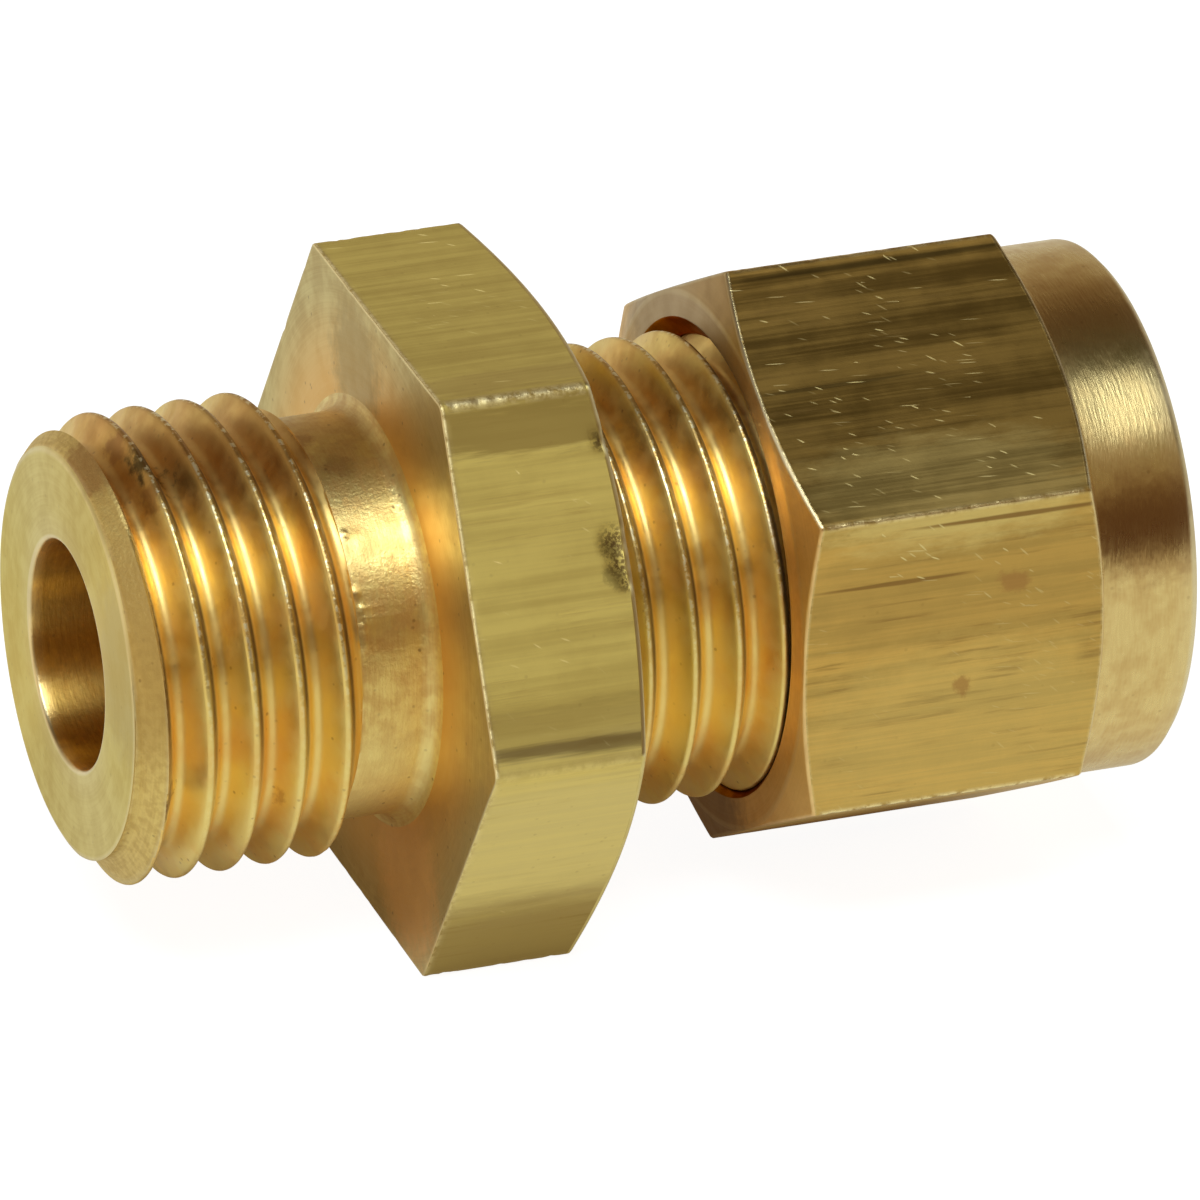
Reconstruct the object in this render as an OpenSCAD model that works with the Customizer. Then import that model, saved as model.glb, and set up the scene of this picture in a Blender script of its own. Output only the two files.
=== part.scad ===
// Male stud compression coupling in brass. A hexagon body carries a pipe-thread stud on one side
// and, on the other, a socket for plain tube that a nut closes over an olive.
//
// X runs along the tube, from the stud towards the nut. The origin is on that axis, in the face of
// the flange that seats against the port, and Z points up, square to a flat of the flange. The
// threads are drawn as plain cylinders at their major diameter.

/* [Thread] */
// Major diameter of the pipe thread, on the stud and under the nut
thread_d = 13.157; // [13:0.001:13.4]
// Pitch of the pipe thread
thread_pitch = 1.337; // [1.2:0.001:1.45]

/* [Stud] */
// Length of the stud, from the seating face to its tip
stud_l = 8.9; // [7:0.1:14]
// Diameter of the flat face at the tip of the stud
stud_tip_d = 11.6; // [10:0.1:12.5]
// Length of the plain neck between the thread's last flank and the flange
neck_l = 2.2; // [1.6:0.1:3.5]
// How far the neck is turned below the root of the thread, on its radius
neck_undercut = 0.05; // [0.02:0.01:0.2]
// Radius of the fillet between the neck and the flange
neck_fillet = 0.45; // [0.2:0.05:0.6]
// Diameter of the waterway
waterway_d = 6.5; // [5:0.1:7]
// Width of the broken edge where the waterway leaves the stud
waterway_edge = 0.1; // [0.05:0.05:0.4]

/* [Flange] */
// Width of the flange across its flats
flange_af = 18; // [17:0.5:22]
// Thickness of the flange
flange_w = 4.8; // [3.5:0.05:7]
// Diameter at which the turned chamfer of the flange starts
flange_crown_d = 17.8; // [17:0.1:18.8]
// Slope of the flange's turned chamfer, measured from its face
flange_crown_angle = 16; // [12:1:30]

/* [Tube] */
// Outside diameter of the tube that the coupling takes
tube_d = 8; // [7.5:0.1:8.2]
// Clearance round the tube in the socket and the olive, on the radius
tube_fit = 0.05; // [0.02:0.01:0.1]
// Clearance round the tube in the nut, on the radius
nut_hole_fit = 0.1; // [0.06:0.01:0.2]

/* [Spigot] */
// Length of the threaded spigot that the nut screws on to
spigot_l = 9.55; // [9:0.05:13]
// Width of the chamfer at the spigot's end
spigot_chamfer = 0.5; // [0.2:0.05:0.7]
// Depth of the tube socket, from the spigot's end to the shoulder that stops the tube
socket_l = 9.4; // [7:0.1:11]

/* [Nut] */
// How much narrower the nut is than the flange, across the flats
nut_step = 2.6; // [1:0.1:2.8]
// Whole length of the nut
nut_l = 12; // [11.5:0.1:14]
// Length of the nut's hexagon
nut_hex_l = 9.05; // [8:0.05:9.5]
// How much smaller the plain collar behind the hexagon is than the nut across its flats
nut_collar_step = 0.3; // [0:0.1:1.5]
// Width of the chamfer round the end of the collar
nut_collar_chamfer = 0.25; // [0.1:0.05:0.5]
// How much smaller the flat face at the nut's open end is than the nut across its flats
nut_face_step = 0.1; // [0:0.05:0.8]
// Slope of the chamfer at the nut's open end, measured from its face
nut_face_angle = 19.5; // [15:0.5:30]
// Slope of the chamfer that runs down to the collar, measured from the nut's face
nut_back_angle = 24; // [15:1:30]
// Diameter of the countersink that leads the thread into the nut
nut_mouth_d = 13.8; // [13.5:0.1:14.2]
// Depth of the nut's thread
nut_thread_l = 6.5; // [6.2:0.1:7]
// Length of the plain hole for the tube in the end of the nut
nut_hole_l = 2.45; // [2:0.05:2.8]
// Width of the broken edge where the tube enters the nut
nut_hole_edge = 0.25; // [0.1:0.05:0.5]
// Clearance between the nut and the spigot, on the radius
nut_fit = 0.05; // [0.02:0.01:0.1]
// Length of the spigot that is inside the nut, with the nut screwed on by hand
nut_engagement = 4.3; // [3.5:0.1:5]
// How far the nut stands turned from having a corner straight up, in degrees
nut_turn = -2; // [-30:1:30]

/* [Olive] */
// Thickness of the olive at its middle band
olive_wall = 1.1; // [0.8:0.05:1.35]
// Length of the olive's middle band
olive_band_l = 1.3; // [0.8:0.1:1.8]
// Thickness of the olive at its two tapered ends
olive_lip = 0.35; // [0.2:0.05:0.45]
// Slope of the olive's tapers and of the seats that they meet, measured from the axis
seat_angle = 20; // [17:1:24]
// Clearance between the olive and its seat in the nut, square to the taper
olive_nut_fit = 0.06; // [0.02:0.01:0.15]
// How far the olive can still move before it meets its seat in the body
olive_slack = 0.45; // [0.3:0.05:0.8]

/* [Hidden] */
$fn = 96;

// A rounded 55 degree thread: its depth as a share of its pitch, and the lean of its flanks
WHITWORTH_DEPTH = 0.640327;
FLANK_ANGLE = 27.5;
// Extra length that a cutting or bounding shape has past the surface it crosses
PAST = 1;

thread_r = thread_d / 2;
thread_root_r = thread_r - WHITWORTH_DEPTH * thread_pitch;
neck_r = thread_root_r - neck_undercut;
stud_chamfer = thread_r - stud_tip_d / 2;
last_flank_l = (thread_r - neck_r) * tan(FLANK_ANGLE);
waterway_r = waterway_d / 2;
socket_r = tube_d / 2 + tube_fit;
nut_hole_r = tube_d / 2 + nut_hole_fit;
nut_thread_r = thread_r + nut_fit;

flange_corner_r = flange_af / 2 / cos(30);
nut_af = flange_af - nut_step;
nut_corner_r = nut_af / 2 / cos(30);
nut_collar_d = nut_af - nut_collar_step;
nut_face_d = nut_af - nut_face_step;

// Stations along X
spigot_x = flange_w + spigot_l;
tube_stop_x = spigot_x - socket_l;
nut_x = spigot_x - nut_engagement;
nut_end_x = nut_x + nut_l;
nut_hex_end_x = nut_x + nut_hex_l;
nut_thread_end_x = nut_x + nut_thread_l;
nut_seat_x = nut_end_x - nut_hole_l;

// The olive stands against the nut's seat, and the body's seat is cut to meet its other end
olive_r = socket_r + olive_wall;
olive_tip_r = socket_r + olive_lip;
olive_taper_l = (olive_r - olive_tip_r) / tan(seat_angle);
olive_end_x = nut_seat_x - (olive_tip_r + olive_nut_fit / cos(seat_angle) - nut_hole_r) / tan(seat_angle);
olive_x = olive_end_x - 2 * olive_taper_l - olive_band_l;
nut_seat_mouth_r = nut_hole_r + (nut_seat_x - nut_thread_end_x) * tan(seat_angle);
spigot_seat_mouth_r = olive_tip_r + (spigot_x - olive_x + olive_slack) * tan(seat_angle);
spigot_seat_x = spigot_x - (spigot_seat_mouth_r - socket_r) / tan(seat_angle);

// A turned shape, from an outline of [radius, place along X]
module turned(outline) {
    rotate([0, 90, 0])
        rotate_extrude()
            polygon(outline);
}

// A length of hexagon bar along X, turned from having a corner straight up
module hex_bar(af, from_x, to_x, turn) {
    translate([from_x, 0, 0])
        rotate([0, 90, 0])
            rotate([0, 0, turn])
                cylinder(r = af / 2 / cos(30), h = to_x - from_x, $fn = 6);
}

// The threaded stud, with its chamfered tip and its plain neck
module stud() {
    turned([
        [0, -stud_l],
        [stud_tip_d / 2, -stud_l],
        [thread_r, stud_chamfer - stud_l],
        [thread_r, -neck_l - last_flank_l],
        [neck_r, -neck_l],
        [neck_r, PAST],
        [0, PAST]
    ]);
}

// A fillet between the neck and the face of the flange
module neck_fillet_ring() {
    rotate([0, 90, 0])
        rotate_extrude()
            translate([neck_r, -neck_fillet])
                difference() {
                    translate([-PAST, 0])
                        square([neck_fillet + PAST, neck_fillet + PAST / 2]);
                    translate([neck_fillet, 0])
                        circle(r = neck_fillet);
                }
}

// The hexagon flange, flat on the face that seats and turned to a chamfer on the other
module flange() {
    crown_drop = (flange_corner_r + PAST - flange_crown_d / 2) * tan(flange_crown_angle);
    intersection() {
        hex_bar(flange_af, 0, flange_w, 30);
        turned([
            [0, -PAST],
            [flange_corner_r + PAST, -PAST],
            [flange_corner_r + PAST, flange_w - crown_drop],
            [flange_crown_d / 2, flange_w],
            [0, flange_w]
        ]);
    }
}

// The spigot that the nut screws on to
module spigot() {
    turned([
        [0, flange_w - PAST],
        [thread_r, flange_w - PAST],
        [thread_r, spigot_x - spigot_chamfer],
        [thread_r - spigot_chamfer, spigot_x],
        [0, spigot_x]
    ]);
}

// The hole right through the body: waterway, tube socket and the olive's seat
module body_bore() {
    turned([
        [0, -stud_l - PAST],
        [waterway_r + waterway_edge + PAST, -stud_l - PAST],
        [waterway_r, waterway_edge - stud_l],
        [waterway_r, tube_stop_x],
        [socket_r, tube_stop_x],
        [socket_r, spigot_seat_x],
        [spigot_seat_mouth_r, spigot_x],
        [spigot_seat_mouth_r, spigot_x + PAST],
        [0, spigot_x + PAST]
    ]);
}

module coupling_body() {
    color([0.74, 0.60, 0.30])
        difference() {
            union() {
                stud();
                neck_fillet_ring();
                flange();
                spigot();
            }
            body_bore();
        }
}

// The olive, a barrel-shaped ring that the nut squeezes on to the tube
module olive() {
    color([0.78, 0.62, 0.30])
        turned([
            [socket_r, olive_x],
            [olive_tip_r, olive_x],
            [olive_r, olive_x + olive_taper_l],
            [olive_r, olive_end_x - olive_taper_l],
            [olive_tip_r, olive_end_x],
            [socket_r, olive_end_x]
        ]);
}

// The nut's hexagon with both its turned chamfers
module nut_hexagon() {
    reach_r = nut_corner_r + PAST;
    face_drop = (reach_r - nut_face_d / 2) * tan(nut_face_angle);
    back_drop = (reach_r - nut_collar_d / 2) * tan(nut_back_angle);
    intersection() {
        hex_bar(nut_af, nut_x, nut_hex_end_x, nut_turn);
        turned([
            [0, nut_x],
            [nut_face_d / 2, nut_x],
            [reach_r, nut_x + face_drop],
            [reach_r, nut_hex_end_x - back_drop],
            [nut_collar_d / 2, nut_hex_end_x],
            [0, nut_hex_end_x]
        ]);
    }
}

// The plain collar behind the hexagon
module nut_collar() {
    turned([
        [0, nut_hex_end_x - PAST],
        [nut_collar_d / 2, nut_hex_end_x - PAST],
        [nut_collar_d / 2, nut_end_x - nut_collar_chamfer],
        [nut_collar_d / 2 - nut_collar_chamfer, nut_end_x],
        [0, nut_end_x]
    ]);
}

// The inside of the nut: countersink, thread, the olive's seat and the hole for the tube
module nut_bore() {
    countersink_l = nut_mouth_d / 2 - nut_thread_r;
    turned([
        [0, nut_x - PAST],
        [nut_mouth_d / 2 + PAST, nut_x - PAST],
        [nut_thread_r, nut_x + countersink_l],
        [nut_thread_r, nut_thread_end_x],
        [nut_seat_mouth_r, nut_thread_end_x],
        [nut_hole_r, nut_seat_x],
        [nut_hole_r, nut_end_x - nut_hole_edge],
        [nut_hole_r + nut_hole_edge + PAST, nut_end_x + PAST],
        [0, nut_end_x + PAST]
    ]);
}

module compression_nut() {
    color([0.72, 0.58, 0.28])
        difference() {
            union() {
                nut_hexagon();
                nut_collar();
            }
            nut_bore();
        }
}

coupling_body();
olive();
compression_nut();
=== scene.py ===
"""A brass male stud coupling for 8 mm tube: the body, the olive inside it and the nut.

X runs along the tube, with the port face of the flange at the origin. Sizes are in millimetres up to
the point where a mesh is made, and angles round the axis are in degrees from straight up towards -Y.
"""

import math

import bpy
import numpy as np
from mathutils import Matrix, Vector


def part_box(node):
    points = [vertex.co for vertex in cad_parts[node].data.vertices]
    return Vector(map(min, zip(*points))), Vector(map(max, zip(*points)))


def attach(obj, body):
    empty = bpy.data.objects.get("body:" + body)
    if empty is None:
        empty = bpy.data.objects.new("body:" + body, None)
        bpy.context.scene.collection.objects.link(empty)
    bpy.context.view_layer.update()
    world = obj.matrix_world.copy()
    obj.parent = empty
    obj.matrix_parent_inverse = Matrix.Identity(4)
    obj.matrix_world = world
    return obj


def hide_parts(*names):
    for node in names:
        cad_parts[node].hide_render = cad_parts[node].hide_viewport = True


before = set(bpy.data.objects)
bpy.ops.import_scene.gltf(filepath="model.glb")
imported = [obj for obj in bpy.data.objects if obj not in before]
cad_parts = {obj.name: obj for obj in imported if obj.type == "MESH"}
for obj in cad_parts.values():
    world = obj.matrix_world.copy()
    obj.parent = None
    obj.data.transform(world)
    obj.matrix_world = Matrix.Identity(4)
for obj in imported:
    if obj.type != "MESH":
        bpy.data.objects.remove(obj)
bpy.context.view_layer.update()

MM = 0.001


# ---------------------------------------------------------------------------------------------------
# The body: one turning from drawn hexagon brass bar. The hexagon keeps the bar's own skin, both
# threads are cut with a die that leaves a bright crest, painted brightest over the top as a glint, and a
# plain neck runs between the stud's thread and the face that seats on the port.

def box_in_mm(node):
    """The lowest and highest corners of a CAD node, to a thousandth of a millimetre."""
    return [[round(c / MM, 3) for c in corner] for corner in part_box(node)]


body_low, body_high = box_in_mm("coupling_body")
STUD_L = -body_low[0]
STUD_TIP_R = 5.8
NECK_L = 2.2
NECK_R = 5.672
NECK_FILLET = 0.45
WATERWAY_R = 3.25
FLANGE_AF = 2 * body_high[2]
FLANGE_W = 4.8
FLANGE_CROWN_R = 8.9
FLANGE_CROWN_SLOPE = 16
BODY_CORNER = 0.28
SPIGOT_X = body_high[0]
SPIGOT_CHAMFER = 0.5
TUBE_R = 4.0
SOCKET_R = TUBE_R + 0.05
SOCKET_L = 9.4
TUBE_STOP_X = SPIGOT_X - SOCKET_L
SEAT_TAPER = math.tan(math.radians(20))
BODY_SEAT_R = 4.99
BODY_SEAT_X = SPIGOT_X - (BODY_SEAT_R - SOCKET_R) / SEAT_TAPER

THREAD_R = 6.5785
PITCH = 1.337
FLANK = math.radians(27.5)
CREST_ROUND = 0.13
ROOT_ROUND = 0.24
HALF_PITCH = PITCH / 2
CREST_REACH = CREST_ROUND * math.cos(FLANK)
ROOT_REACH = HALF_PITCH - ROOT_ROUND * math.cos(FLANK)
CREST_DROP = CREST_ROUND * (1 - math.sin(FLANK))
FLANK_DROP = (ROOT_REACH - CREST_REACH) / math.tan(FLANK)
ROOT_DROP = ROOT_ROUND * (1 - math.sin(FLANK))
THREAD_DEPTH = CREST_DROP + FLANK_DROP + ROOT_DROP
# Where a crest of each thread crosses the top of the piece
STUD_START = 0.785
SPIGOT_START = 0.29
# Where the tip's chamfer meets the stud's crests
CHAMFER_END_X = -8.12
# Where the mesh has its lines on each side of a crest
HALF_STEPS = [0.045, 0.085, CREST_REACH, 0.2, 0.29, 0.38, ROOT_REACH, 0.52, 0.59]
THREAD_STEPS = [-s for s in reversed(HALF_STEPS)] + [0.0] + HALF_STEPS + [HALF_PITCH]
# The sheltered band behind a crest: its middle and its half width
LEE_X = 0.21
LEE_W = 0.13
# How far down from a crest its bright burr reaches
BURR_DROP = 0.03
# Nicks deeper than this hold dirt
DARK_NICK_DEPTH = 0.05
# How wide the worn edges are, and how near to its end a thread's mesh joins the piece's own line
BEVEL = 0.05
SNAP = 0.012
COS_30 = math.cos(math.radians(30))

# The finishes, in the order of a piece's materials
FLATS, TURNED, THREAD, NECK, BORE, TIP_CHAMFER, SEAT_FACE = range(7)


def round_axis(x, r, phi):
    """The place at a distance along the axis, a radius and an angle."""
    a = math.radians(phi)
    return (x, -r * math.sin(a), r * math.cos(a))


def from_crest(x, phi, start):
    """How far along the axis a place is from the nearest crest of a right-hand thread."""
    return (x - start - PITCH * phi / 360 + HALF_PITCH) % PITCH - HALF_PITCH


def thread_depth(x, phi, start):
    """How deep a thread is cut at x and phi, below its crest."""
    off = abs(from_crest(x, phi, start))
    if off < CREST_REACH:
        return CREST_ROUND - math.sqrt(CREST_ROUND ** 2 - off ** 2)
    if off < ROOT_REACH:
        return CREST_DROP + (off - CREST_REACH) / math.tan(FLANK)
    rise = ROOT_ROUND - math.sqrt(max(0, ROOT_ROUND ** 2 - (HALF_PITCH - off) ** 2))
    return THREAD_DEPTH - rise


def thread_lee(x, phi, start):
    """How near a place is to the sheltered flank just behind a thread's crest, where dirt and painted shade
    are laid.
    """
    return min(1.0, max(0.0, 1.5 - abs(from_crest(x, phi, start) - LEE_X) / LEE_W))


def thread_wear(x, phi, start):
    """The bright burr on a thread's crest."""
    return max(0.0, 1 - thread_depth(x, phi, start) / BURR_DROP)


def bar_radius(phi, flats, turn, corner):
    """The outline of hexagon bar with its corners rounded, seen along the axis."""
    off = (phi - turn + 30) % 60 - 30
    swing = math.radians(30 - abs(off))
    centre = (flats / 2 - corner) / COS_30
    edge = math.atan2(corner * 0.5, centre + corner * COS_30)
    if swing < edge:
        return centre * math.cos(swing) + math.sqrt(corner ** 2 - (centre * math.sin(swing)) ** 2)
    return flats / 2 / math.cos(math.radians(off))


def ring_angles(turn, flats, corner, step):
    """Angles round a hexagon piece: even steps, with extra ones at its rounded corners."""
    corner_reach = math.degrees(math.atan2(corner * 0.5, (flats / 2 - corner) / COS_30))
    found = {round((turn + k * step) % 360, 4) for k in range(360 // step)}
    for side in range(6):
        corner_phi = turn + 60 * side + 30
        for share in (0.5, 1, 1.8):
            found.add(round((corner_phi - share * corner_reach) % 360, 4))
            found.add(round((corner_phi + share * corner_reach) % 360, 4))
    return sorted(found)


def corner_wear(phi, turn, width):
    """The rub on a bar's six long corners."""
    return max(0.0, 1 - abs((phi - turn) % 60 - 30) / width)


def edge_wear(phi, first, last):
    """The rub on a bar's turned edges: strong between two of its corners, and slight elsewhere."""
    return 0.9 if (phi - first) % 360 < last - first else 0.35


def along_bar(start, end, count, bar, worn):
    """Even columns along a bar's flat, close enough together for its dents."""
    return [(start + (end - start) * k / count, bar, worn) for k in range(1, count)]


def eased_edge(radius, face_x, cone_r, slope, side, worn):
    """The mesh columns over a bar's end: flat, eased edge, turned cone, eased edge and face."""
    drop = max(0.0, radius - cone_r) * math.tan(math.radians(slope))
    x1, x2, r2 = face_x - side * drop, face_x, min(radius, cone_r)
    length = math.hypot(x2 - x1, radius - r2)
    short = max(0.0, 1 - length / (2 * BEVEL))
    ux, ur = 0.0, 0.0
    if length > 0:
        ux, ur = (x2 - x1) / length, (r2 - radius) / length
    part = min(BEVEL, length * 0.45)
    past = min(2.5 * BEVEL, length * 0.48)
    cut = 0.3 * BEVEL * short
    return [
        (x1 - side * 2.5 * BEVEL, radius, 0.0),
        (x1 - side * BEVEL, radius, worn),
        (x1 + ux * part - side * cut, radius + ur * part - cut, worn),
        (x1 + ux * past - side * cut, radius + ur * past - cut, 0.0),
        (x2 - ux * past - side * cut, r2 - ur * past - cut, 0.0),
        (x2 - ux * part - side * cut, r2 - ur * part - cut, 0.2),
        (x2, r2 - BEVEL, 0.2),
        (x2, r2 - 2.5 * BEVEL, 0.0),
    ]


def turn_piece(name, angles, outline, nicks=()):
    """A closed mesh round the axis. outline(phi) lists one section's bands in order, each as its finish,
    its columns (x, r, wear) and the thread, if any, that runs from its last column to the next band.
    Each nick is (place, reach, depth), raised where its depth is below zero."""
    verts, wear, hollow, lee = [], [], [], []

    def add_vertex(x, r, phi, worn, deep=0.0, sheltered=0.0):
        verts.append(round_axis(x, r, phi))
        wear.append(worn)
        hollow.append(deep)
        lee.append(sheltered)
        return len(verts) - 1

    finish_of, screws = [], {}
    for finish, columns, screw in outline(angles[0]):
        finish_of += [finish] * len(columns)
        if screw:
            screws[len(finish_of) - 1] = screw
    sections, rows = [], []
    for phi in angles:
        sections.append([column for _, columns, _ in outline(phi) for column in columns])
        rows.append([add_vertex(x, r, phi, worn) for x, r, worn in sections[-1]])
    rows.append(rows[0])

    faces, finishes = [], []

    def add_face(corners, finish):
        kept = [c for n, c in enumerate(corners) if c != corners[n - 1]]
        if len(set(kept)) >= 3:
            faces.append(kept)
            finishes.append(finish)

    for k, finish in enumerate(finish_of):
        after = (k + 1) % len(finish_of)
        if k in screws:
            continue
        for i in range(len(angles)):
            add_face((rows[i][k], rows[i + 1][k], rows[i + 1][after], rows[i][after]), finish)

    # A thread's mesh follows its helix: each line of it starts one pitch on from where it began
    per = len(THREAD_STEPS)
    for k, screw in screws.items():
        xa, xb = sections[0][k][0], sections[0][k + 1][0]
        forward = xb > xa
        low, high = min(xa, xb), max(xa, xb)
        ends = (k, k + 1) if forward else (k + 1, k)
        first = math.floor((low - screw["start"]) / PITCH) - 2
        steps = per * (math.ceil((high - low) / PITCH) + 5)
        lead_x, lead_finish = screw.get("lead", (low, None))
        grid = []
        for i, phi in enumerate(angles):
            line = []
            for j in range(steps):
                x = screw["start"] + PITCH * (first + j // per + phi / 360) + THREAD_STEPS[j % per]
                if x < low + SNAP:
                    line.append(rows[i][ends[0]])
                elif x > high - SNAP:
                    line.append(rows[i][ends[1]])
                else:
                    r = screw["radius"](x, phi)
                    deep = min(1.0, max(0.0, (THREAD_R - r) / THREAD_DEPTH))
                    behind = thread_lee(x, phi, screw["start"])
                    line.append(add_vertex(x, r, phi, screw["wear"](x, phi), deep, behind))
            grid.append(line)
        grid.append([grid[0][min(j + per, steps - 1)] for j in range(steps)])
        for i in range(len(angles)):
            for j in range(steps - 1):
                quad = [grid[i][j], grid[i + 1][j], grid[i + 1][j + 1], grid[i][j + 1]]
                finish = lead_finish if verts[quad[3]][0] < lead_x else finish_of[k]
                add_face(quad if forward else quad[::-1], finish)

    points = np.array(verts)
    for at, reach, depth in nicks:
        gap = np.linalg.norm(points - np.array(at), axis=1)
        near = gap < reach
        sink = depth * (1 - (gap[near] / reach) ** 2) ** 2
        off = points[near][:, 1:]
        points[near, 1:] -= off / np.linalg.norm(off, axis=1)[:, None] * sink[:, None]
        if depth > DARK_NICK_DEPTH:
            for n in np.flatnonzero(near):
                hollow[n] = max(hollow[n], 1 - (gap[n] / reach) ** 2)

    mesh = bpy.data.meshes.new(name)
    mesh.from_pydata((points * MM).tolist(), [], faces)
    mesh.polygons.foreach_set("material_index", finishes)
    mesh.polygons.foreach_set("use_smooth", [True] * len(faces))
    for label, values in (("wear", wear), ("hollow", hollow), ("lee", lee)):
        mesh.attributes.new(label, "FLOAT", "POINT").data.foreach_set("value", values)
    mesh.set_sharp_from_angle(angle=math.radians(50))
    piece = bpy.data.objects.new(name, mesh)
    bpy.context.scene.collection.objects.link(piece)
    weighted = piece.modifiers.new("even shading", "WEIGHTED_NORMAL")
    weighted.keep_sharp = True
    weighted.weight = 50
    bpy.context.view_layer.update()
    shaded = bpy.data.meshes.new_from_object(piece.evaluated_get(bpy.context.evaluated_depsgraph_get()))
    piece.modifiers.clear()
    piece.data = shaded
    shaded.name = name
    return piece


def stud_radius(x, phi):
    """The stud from its tip to its neck: its thread, held in by the tip's chamfer and the last flank."""
    chamfer = STUD_TIP_R + (x + STUD_L)
    last_flank = NECK_R + (-NECK_L - x) / math.tan(FLANK)
    return min(THREAD_R - thread_depth(x, phi, STUD_START), chamfer, last_flank)


def stud_wear(x, phi):
    """The burr, with the torn edge where the tip's chamfer meets the thread."""
    torn = 0.6 * max(0.0, 1 - abs(x - CHAMFER_END_X) / 0.1)
    return max(torn, thread_wear(x, phi, STUD_START) if x > CHAMFER_END_X + 0.02 else 0.0)


def spigot_radius(x, phi):
    """The spigot from the flange to its end: the thread, held in by the end's chamfer."""
    chamfer = THREAD_R - SPIGOT_CHAMFER + (SPIGOT_X - x)
    return min(THREAD_R - thread_depth(x, phi, SPIGOT_START), chamfer)


stud_screw = {
    "start": STUD_START,
    "radius": stud_radius,
    "wear": stud_wear,
    "lead": (CHAMFER_END_X, TIP_CHAMFER),
}
spigot_screw = {
    "start": SPIGOT_START,
    "radius": spigot_radius,
    "wear": lambda x, phi: thread_wear(x, phi, SPIGOT_START),
}


def body_outline(phi):
    """Out along the waterway, round the tip, back along the outside and in at the spigot's end."""
    bar = bar_radius(phi, FLANGE_AF, 0, BODY_CORNER)
    # Only the corner at 30 degrees is rubbed bright along its whole length, partly wear and partly a
    # painted highlight
    rubbed = corner_wear(phi, 0, 1.4) * (1.0 if phi < 60 else 0.15)
    worn = edge_wear(phi, -30, 90)
    tip = -STUD_L
    waterway = [
        (TUBE_STOP_X, WATERWAY_R, 0.0),
        (0.0, WATERWAY_R, 0.0),
        (tip + 0.45, WATERWAY_R, 0.0),
        (tip + 0.12, WATERWAY_R, 0.3),
        (tip + 0.05, WATERWAY_R + 0.02, 1.0),
    ]
    tip_face = [
        (tip, WATERWAY_R + 0.09, 1.0),
        (tip, WATERWAY_R + 0.16, 0.2),
        (tip, WATERWAY_R + 0.9, 0.0),
        (tip, STUD_TIP_R - 0.7, 0.0),
        (tip, STUD_TIP_R - 0.16, 0.0),
        (tip, STUD_TIP_R - 0.08, 0.5),
        (tip + 0.025, STUD_TIP_R - 0.03, 0.7),
    ]
    stud = [(tip + 0.07, min(STUD_TIP_R + 0.05, stud_radius(tip + 0.07, phi)), 0.3)]
    # The first columns of the neck lie close together, for the burrs
    neck = [
        (-NECK_L, NECK_R, 0.2),
        (-NECK_L + 0.07, NECK_R, 0.0),
        (-NECK_L + 0.14, NECK_R, 0.0),
        (-NECK_L + 0.21, NECK_R, 0.0),
        (-NECK_L + 0.3, NECK_R, 0.0),
        (-1.3, NECK_R, 0.0),
        (-NECK_FILLET - 0.05, NECK_R, 0.0),
    ]
    for k in range(6):
        a = math.radians(15 * k)
        x = -NECK_FILLET + NECK_FILLET * math.sin(a)
        neck.append((x, NECK_R + NECK_FILLET * (1 - math.cos(a)), 0.0))
    fillet_r = NECK_R + NECK_FILLET
    seat_face = [(0.0, r, 0.0) for r in (fillet_r, fillet_r + 0.1, 7.4, 8.2, bar - 2.5 * BEVEL)]
    seat_face.append((0.0, bar - BEVEL, worn))
    crown = eased_edge(bar, FLANGE_W, FLANGE_CROWN_R, FLANGE_CROWN_SLOPE, 1, worn)
    flats = [
        (0.3 * BEVEL, bar - 0.3 * BEVEL, worn),
        (BEVEL, bar, worn),
        (2.5 * BEVEL, bar, 0.1),
    ]
    flats += along_bar(2.5 * BEVEL, crown[0][0], 36, bar, rubbed)
    crown += [(FLANGE_W, r, 0.0) for r in (7.8, 6.9)]
    spigot = [(FLANGE_W, spigot_radius(FLANGE_W, phi), 0.2)]
    spigot_end = [
        (SPIGOT_X, spigot_radius(SPIGOT_X, phi), 0.5),
        (SPIGOT_X, 5.5, 0.0),
    ]
    socket = [
        (SPIGOT_X, BODY_SEAT_R, 0.3),
        (BODY_SEAT_X, SOCKET_R, 0.0),
        (TUBE_STOP_X, SOCKET_R, 0.0),
    ]
    return [
        (BORE, waterway, None),
        (TURNED, tip_face, None),
        (THREAD, stud, stud_screw),
        (NECK, neck, None),
        (SEAT_FACE, seat_face, None),
        (FLATS, flats, None),
        (TURNED, crown, None),
        (THREAD, spigot, spigot_screw),
        (TURNED, spigot_end, None),
        (BORE, socket, None),
    ]


def along_edges(seed, count, edges, reach, depth):
    """Small dents from handling: each is (place, reach, depth), at random places along the edges."""
    rng = np.random.RandomState(seed)
    made = []
    for n in range(count):
        a, b = edges[rng.randint(len(edges))]
        share = rng.rand()
        at = [a[m] + (b[m] - a[m]) * share for m in range(3)]
        made.append((at, rng.uniform(*reach), rng.uniform(*depth)))
    return made


def on_corner(x, flats, phi):
    return round_axis(x, flats / 2 / COS_30, phi)


DENT_REACH = (0.07, 0.2)
DENT_DEPTH = (0.005, 0.03)
body_corners = [30 + 60 * k for k in range(6)]
body_edges = [(on_corner(0, FLANGE_AF, p), on_corner(4, FLANGE_AF, p)) for p in body_corners]
body_edges += [(on_corner(0, FLANGE_AF, p), on_corner(0, FLANGE_AF, p + 60)) for p in body_corners]
body_nicks = along_edges(11, 120, body_edges, DENT_REACH, DENT_DEPTH)
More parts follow.
